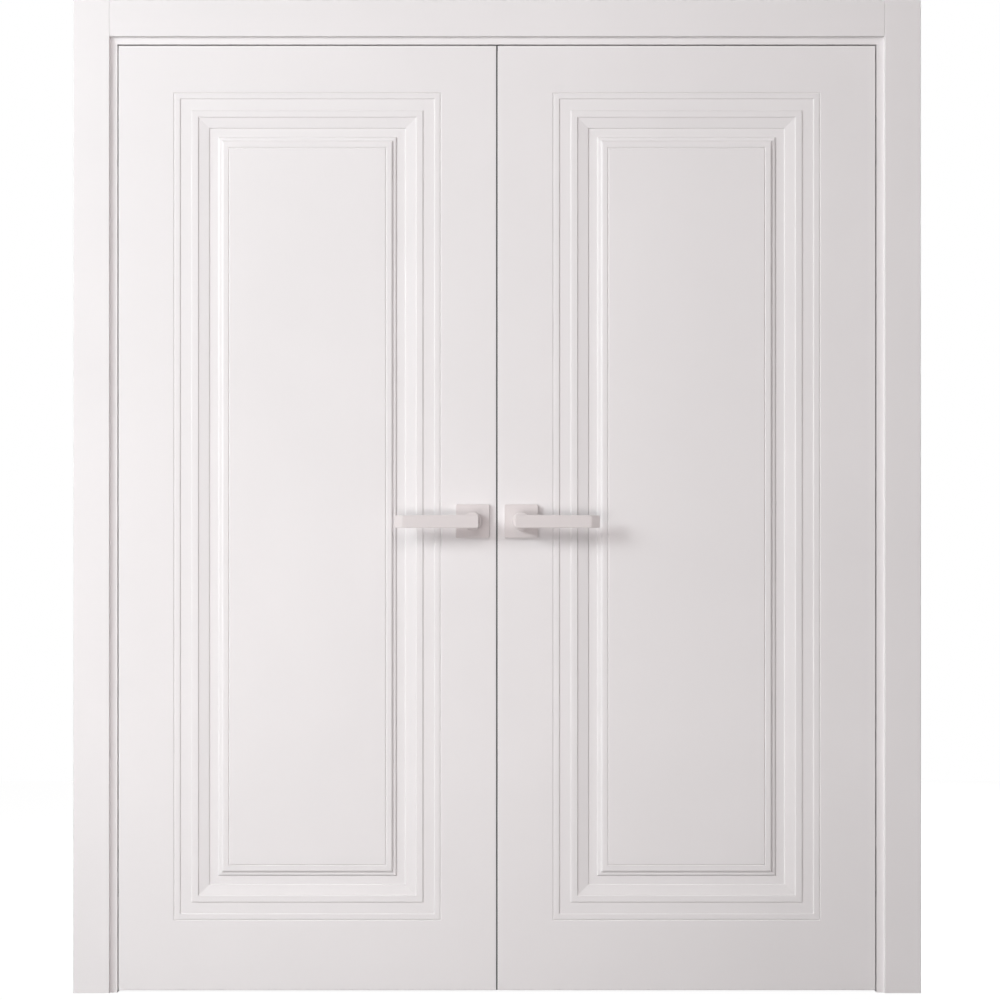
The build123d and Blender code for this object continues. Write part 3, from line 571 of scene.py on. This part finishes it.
class DOOR_OT_screws(bpy.types.Operator):
    """Put a countersunk screw with a cross recess in each CAD screw's seat"""
    bl_idname = "door.screws"
    bl_label = "Drive screws"

    def execute(self, context):
        settings = context.scene.door_screws
        finish = screw_zinc(context.scene.door_hardware.plated)
        tree = screw_tree()
        for body in sorted({BODY_OF_NODE[name] for name in SCREW_NODES}):
            names = [name for name in SCREW_NODES if BODY_OF_NODE[name] == body]
            seats = screw_seats([frame["nodes"][name] for name in names])
            piece = self.seated(context.scene, f"{body}_driven_screws", seats)
            (_, head_radius), (head_depth, shank_radius) = seats[0]["rings"][:2]
            sizes = (
                head_radius, head_depth, shank_radius,
                settings.recess_width, settings.recess_span, settings.recess_depth,
            )
            self.drive(context, piece, tree, [*sizes, settings.turn_seed, finish])
            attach(piece, body)
            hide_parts(*names)
        return {"FINISHED"}

    def seated(self, scene, name, seats):
        """An object with one point for each screw."""
        mesh = bpy.data.meshes.new(name)
        mesh.from_pydata([seat["head"] for seat in seats], [], [])
        mesh.attributes.new("inwards", "FLOAT_VECTOR", "POINT")
        mesh.attributes.new("length", "FLOAT", "POINT")
        for i, seat in enumerate(seats):
            mesh.attributes["inwards"].data[i].vector = seat["inwards"]
            mesh.attributes["length"].data[i].value = seat["length"]
        piece = bpy.data.objects.new(name, mesh)
        scene.collection.objects.link(piece)
        return piece

    def drive(self, context, piece, tree, values):
        """Turn the points into the plain mesh of their screws."""
        modifier = piece.modifiers.new("screws", "NODES")
        modifier.node_group = tree
        sockets = [item for item in tree.interface.items_tree if item.in_out == "INPUT"]
        for socket, value in zip(sockets[1:], values, strict=True):
            modifier[socket.identifier] = value
        evaluated = piece.evaluated_get(context.evaluated_depsgraph_get())
        mesh = bpy.data.meshes.new_from_object(evaluated)
        piece.modifiers.remove(modifier)
        piece.data = mesh
        mesh.shade_smooth()
        mesh.set_sharp_from_angle(angle=SHARP_ANGLE)


class DOOR_OT_stage(bpy.types.Operator):
    """Lay the floor, hang the lights and set up the camera"""
    bl_idname = "door.stage"
    bl_label = "Set the stage"

    def execute(self, context):
        scene = context.scene
        settings = scene.door_stage
        scene.view_settings.view_transform = "Standard"
        self.lay_floor(scene, settings)
        self.hang_lights(scene, settings)
        self.place_camera(scene, settings)
        return {"FINISHED"}

    def lay_floor(self, scene, settings):
        """A level floor under the doors."""
        mesh = bpy.data.meshes.new("floor")
        builder = bmesh.new()
        bmesh.ops.create_grid(builder, x_segments=1, y_segments=1, size=FLOOR_REACH)
        builder.to_mesh(mesh)
        builder.free()
        floor = bpy.data.objects.new("floor", mesh)
        scene.collection.objects.link(floor)
        paint([floor], pale_floor(settings.floor_colour))

    def hang_lights(self, scene, settings):
        """Softboxes round the doors and a white room that metal mirrors more strongly."""
        door_middle = (Vector(CAD_BOX[0]) + Vector(CAD_BOX[1])) / 2
        for name, (place, width, height) in SOFTBOXES.items():
            light = bpy.data.lights.new(name, "AREA")
            light.shape = "RECTANGLE"
            light.size = width
            light.size_y = height
            light.energy = getattr(settings, f"{name}_power")
            light.color = settings.warm_white if name in WARM_SOFTBOXES else settings.cool_white
            lamp = bpy.data.objects.new(name, light)
            lamp.location = place
            lamp.rotation_euler = (door_middle - lamp.location).to_track_quat("-Z", "Y").to_euler()
            scene.collection.objects.link(lamp)
        world = bpy.data.worlds.new("white_room")
        world.use_nodes = True
        tree = world.node_tree
        tree.nodes.clear()
        ray = add_node(tree, "ShaderNodeLightPath").outputs
        tint = (*settings.warm_white, 1)
        even = add_node(tree, "ShaderNodeBackground", {"Color": tint, "Strength": settings.ambient})
        heading = add_node(tree, "ShaderNodeTexCoord").outputs["Generated"]
        height = add_node(tree, "ShaderNodeSeparateXYZ", links={"Vector": heading}).outputs["Z"]
        rising = add_node(
            tree, "ShaderNodeMapRange",
            {
                "From Max": CEILING_RISE,
                "To Min": settings.mirrored_walls,
                "To Max": settings.mirrored_ceiling,
            },
            {"Value": height},
        )
        mirrored = add_node(
            tree, "ShaderNodeBackground", {"Color": tint}, {"Strength": rising.outputs["Result"]}
        )
        white = add_node(tree, "ShaderNodeBackground", {"Color": (1, 1, 1, 1)})
        lit = add_node(
            tree, "ShaderNodeMixShader",
            links={
                0: ray["Is Glossy Ray"], 1: even.outputs["Background"], 2: mirrored.outputs["Background"],
            },
        )
        mix = add_node(
            tree, "ShaderNodeMixShader",
            links={0: ray["Is Camera Ray"], 1: lit.outputs["Shader"], 2: white.outputs["Background"]},
        )
        add_node(tree, "ShaderNodeOutputWorld", links={"Surface": mix.outputs["Shader"]})
        scene.world = world

    def place_camera(self, scene, settings):
        """A camera square to the leaves."""
        data = bpy.data.cameras.new("camera")
        data.sensor_width = SENSOR_WIDTH
        data.lens = SENSOR_WIDTH * settings.camera_distance / settings.view_width
        camera = bpy.data.objects.new("camera", data)
        face_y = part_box("left_leaf")[0].y
        camera.location = (settings.view_x, face_y - settings.camera_distance, settings.view_z)
        camera.rotation_euler = (math.radians(90), 0, 0)
        scene.collection.objects.link(camera)
        scene.camera = camera


OPERATORS = (
    DOOR_OT_enamel, DOOR_OT_handles, DOOR_OT_hinges, DOOR_OT_latch, DOOR_OT_seals, DOOR_OT_screws,
    DOOR_OT_stage,
)
SETTINGS = {
    "door_enamel": EnamelSettings,
    "door_hardware": HardwareSettings,
    "door_screws": ScrewSettings,
    "door_stage": StageSettings,
}


class DOOR_PT_finishes(bpy.types.Panel):
    """Sidebar panel with a button for each finishing step"""
    bl_idname = "DOOR_PT_finishes"
    bl_label = "Double door"
    bl_space_type = "VIEW_3D"
    bl_region_type = "UI"
    bl_category = "Door"

    def draw(self, context):
        for operator in OPERATORS:
            self.layout.operator(operator.bl_idname)


CLASSES = (*SETTINGS.values(), *OPERATORS, DOOR_PT_finishes)


def register():
    """Add the settings, operators and panel."""
    for cls in CLASSES:
        bpy.utils.register_class(cls)
    for name, group in SETTINGS.items():
        setattr(bpy.types.Scene, name, bpy.props.PointerProperty(type=group))


def unregister():
    """Take the settings, operators and panel out again."""
    for name in SETTINGS:
        delattr(bpy.types.Scene, name)
    for cls in reversed(CLASSES):
        bpy.utils.unregister_class(cls)


def main():
    """Finish the doors and set the stage."""
    register()
    bpy.ops.door.enamel()
    bpy.ops.door.handles()
    bpy.ops.door.hinges()
    bpy.ops.door.latch()
    bpy.ops.door.seals()
    bpy.ops.door.screws()
    bpy.ops.door.stage()


if __name__ == "__main__":
    main()
